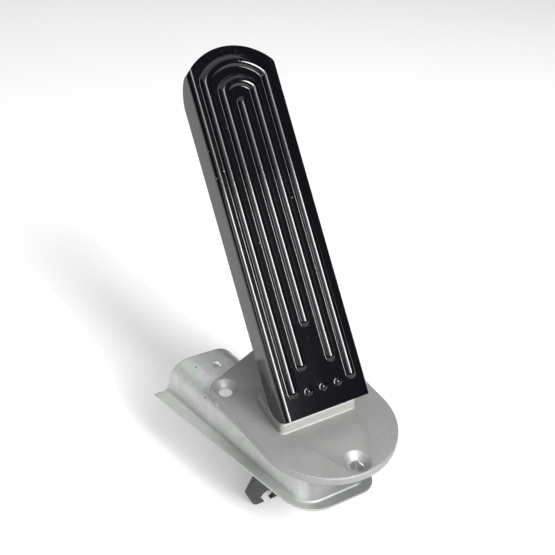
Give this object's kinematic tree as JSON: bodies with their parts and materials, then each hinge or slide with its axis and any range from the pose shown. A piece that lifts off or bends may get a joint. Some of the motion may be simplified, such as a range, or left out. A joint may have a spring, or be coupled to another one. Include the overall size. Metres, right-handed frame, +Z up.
{
  "type": "accelerator pedal",
  "caption": "Floor-mounted car accelerator pedal: a ribbed black pressed treadle hinged in a cast base plate, with a pressed housing and a cable lever below the floor",
  "frame": {"origin": "axis of the front fixing hole, in the plane of the base plate's underside, which lies on the floor panel", "axes": "+X to the right across the treadle as the driver sees it, +Y towards the front of the car, away from the driver, +Z up from the floor along the fixing screws"},
  "size_m": [0.1223, 0.1859, 0.28],
  "materials": {
    "cast_plate": "satin as-cast, fine grain",
    "zinc_housing": "zinc plated and passivated, mottled satin",
    "black_paint": "gloss black stoved enamel",
    "dark_steel": "dark grey satin coating",
    "bright_steel": "zinc plated, satin",
    "spring_steel": "oiled spring steel, satin",
    "bronze": "sintered bronze, matte",
    "rubber": "matte"
  },
  "bodies": {
    "base": {"base_plate": "cast_plate", "housing": "zinc_housing", "pivot_pin": "bright_steel", "pin_circlip": "spring_steel", "washer_left": "bright_steel", "washer_right": "bright_steel", "spring_left": "spring_steel", "spring_right": "spring_steel", "idle_bumper": "rubber", "stop_screw": "bright_steel", "stop_locknut": "bright_steel", "cover_screw_1": "bright_steel", "cover_screw_2": "bright_steel", "cover_screw_3": "bright_steel", "cover_screw_4": "bright_steel"},
    "pedal": {"treadle": "black_paint", "arm_bracket": "dark_steel", "arm_sleeve": "dark_steel", "throttle_lever": "dark_steel", "bush_left": "bronze", "bush_right": "bronze"}
  },
  "joints": [
    {"name": "treadle_hinge", "type": "hinge", "parent": "base", "child": "pedal", "pos_m": [-0.003, 0.052, 0.0065], "axis": [-1, 0, 0], "range_deg": [0, 18], "stiffness_Nm_per_rad": 1.6, "springref_deg": -34.38, "deforming": ["spring_left", "spring_right"]}
  ]
}
